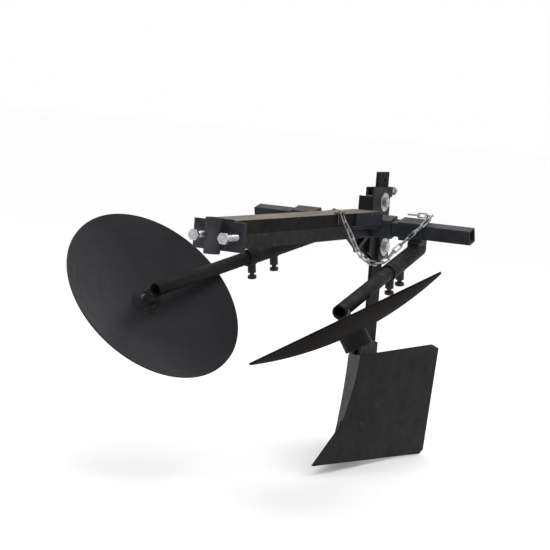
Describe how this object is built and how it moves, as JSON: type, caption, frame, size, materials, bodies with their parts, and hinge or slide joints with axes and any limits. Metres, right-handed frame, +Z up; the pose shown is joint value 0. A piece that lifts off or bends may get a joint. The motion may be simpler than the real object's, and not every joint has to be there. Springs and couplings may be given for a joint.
{
  "type": "disc hiller attachment",
  "caption": "Ridging attachment for a two-wheel tractor: beam with kingpin tube, crossbar with two dished discs on sliding arms, and a height-adjustable V share.",
  "frame": {"origin": "middle of the kingpin bore in the hitch tube", "axes": "+Z up along the kingpin bore, -Y towards the tractor, +Y back along the beam to the share, X along the crossbar"},
  "size_m": [0.7207, 0.9292, 0.627],
  "materials": {
    "black_paint": "satin black-grey paint, worn",
    "worn_paint": "dusty worn paint",
    "zinc": "zinc plated",
    "bright_steel": "bare steel"
  },
  "bodies": {
    "frame": {"hitch_tube": "black_paint", "hitch_plate": "black_paint", "beam_upper_channel": "worn_paint", "beam_lower_channel": "black_paint", "saddle_gusset_right": "black_paint", "saddle_gusset_left": "black_paint", "crossbar_socket": "black_paint", "crossbar": "black_paint", "holder_front_plate": "black_paint", "holder_cheek_right": "black_paint", "holder_cheek_left": "black_paint", "holder_pads": "black_paint", "under_gusset": "black_paint", "brace_bar": "worn_paint", "shank_stops": "black_paint", "lock_block": "black_paint", "cross_bolts": "zinc", "cross_bolt_washers": "zinc", "cross_bolt_nuts": "zinc", "lift_chain": "bright_steel", "chain_hook": "bright_steel"},
    "collar_right_body": {"collar_right": "black_paint", "sleeve_right": "black_paint", "clamp_bosses_right": "black_paint"},
    "clamp_screw_right_front_body": {"clamp_screw_right_front": "zinc"},
    "clamp_screw_right_rear_body": {"clamp_screw_right_rear": "zinc"},
    "arm_right_body": {"arm_tube_right": "black_paint", "axle_right": "bright_steel", "hub_bearings_right": "bright_steel", "axle_clip_right": "bright_steel"},
    "disc_right_body": {"disc_right": "black_paint", "hub_right": "black_paint", "hub_cap_right": "black_paint", "bearing_spacer_right": "bright_steel"},
    "collar_left_body": {"collar_left": "black_paint", "sleeve_left": "black_paint", "clamp_bosses_left": "black_paint"},
    "clamp_screw_left_front_body": {"clamp_screw_left_front": "zinc"},
    "clamp_screw_left_rear_body": {"clamp_screw_left_rear": "zinc"},
    "arm_left_body": {"arm_tube_left": "black_paint", "axle_left": "bright_steel", "hub_bearings_left": "bright_steel", "axle_clip_left": "bright_steel"},
    "disc_left_body": {"disc_left": "black_paint", "hub_left": "black_paint", "hub_cap_left": "black_paint", "bearing_spacer_left": "bright_steel"},
    "adjuster_right_body": {"adjuster_bolt_right": "zinc"},
    "adjuster_left_body": {"adjuster_bolt_left": "zinc"},
    "shank_body": {"shank": "black_paint", "share_breast": "worn_paint", "share_wing_right": "black_paint", "share_wing_left": "black_paint", "share_web": "black_paint", "share_ribs": "black_paint", "share_bolts": "zinc", "share_nuts": "zinc"},
    "depth_lock_body": {"depth_lock_bolt": "zinc"}
  },
  "joints": [
    {"name": "adjuster_right_slide", "type": "slide", "parent": "frame", "child": "adjuster_right_body", "axis": [0, -1, 0], "range_m": [-0.015, 0.012]},
    {"name": "adjuster_left_slide", "type": "slide", "parent": "frame", "child": "adjuster_left_body", "axis": [0, -1, 0], "range_m": [0, 0.005]},
    {"name": "shank_slide", "type": "slide", "parent": "frame", "child": "shank_body", "axis": [0, 0, 1], "range_m": [-0.025, 0.025]},
    {"name": "depth_lock_slide", "type": "slide", "parent": "frame", "child": "depth_lock_body", "axis": [0, 1, 0], "range_m": [0, 0.008]},
    {"name": "collar_right_slide", "type": "slide", "parent": "frame", "child": "collar_right_body", "axis": [1, 0, 0], "range_m": [-0.008, 0.002]},
    {"name": "arm_right_roll", "type": "hinge", "parent": "collar_right_body", "child": "arm_right_body", "pos_m": [0.1585, 0.41367, -0.07375], "axis": [-0.1479, 0.9776, 0.1495], "range_deg": [-55, 15]},
    {"name": "disc_right_spin", "type": "hinge", "parent": "arm_right_body", "child": "disc_right_body", "pos_m": [0.2239, 0.12997, -0.15464], "axis": [-0.5065, -0.1094, 0.8553], "continuous": true},
    {"name": "clamp_screw_right_front_slide", "type": "slide", "parent": "collar_right_body", "child": "clamp_screw_right_front_body", "axis": [-0.0224, 0.1479, -0.9888], "range_m": [0, 0.008]},
    {"name": "clamp_screw_right_rear_slide", "type": "slide", "parent": "collar_right_body", "child": "clamp_screw_right_rear_body", "axis": [-0.0224, 0.1479, -0.9888], "range_m": [0, 0.008]},
    {"name": "collar_left_slide", "type": "slide", "parent": "frame", "child": "collar_left_body", "axis": [-1, 0, 0], "range_m": [-0.028, 0.09]},
    {"name": "arm_left_roll", "type": "hinge", "parent": "collar_left_body", "child": "arm_left_body", "pos_m": [-0.15833, 0.41481, -0.08059], "axis": [-0.147, -0.9722, -0.1822], "range_deg": [-40, 30]},
    {"name": "disc_left_spin", "type": "hinge", "parent": "arm_left_body", "child": "disc_left_body", "pos_m": [-0.22782, 0.16426, -0.15848], "axis": [0.6997, -0.2325, 0.6756], "continuous": true},
    {"name": "clamp_screw_left_front_slide", "type": "slide", "parent": "collar_left_body", "child": "clamp_screw_left_front_body", "axis": [0.0273, 0.1802, -0.9833], "range_m": [0, 0.008]},
    {"name": "clamp_screw_left_rear_slide", "type": "slide", "parent": "collar_left_body", "child": "clamp_screw_left_rear_body", "axis": [0.0273, 0.1802, -0.9833], "range_m": [0, 0.008]}
  ]
}
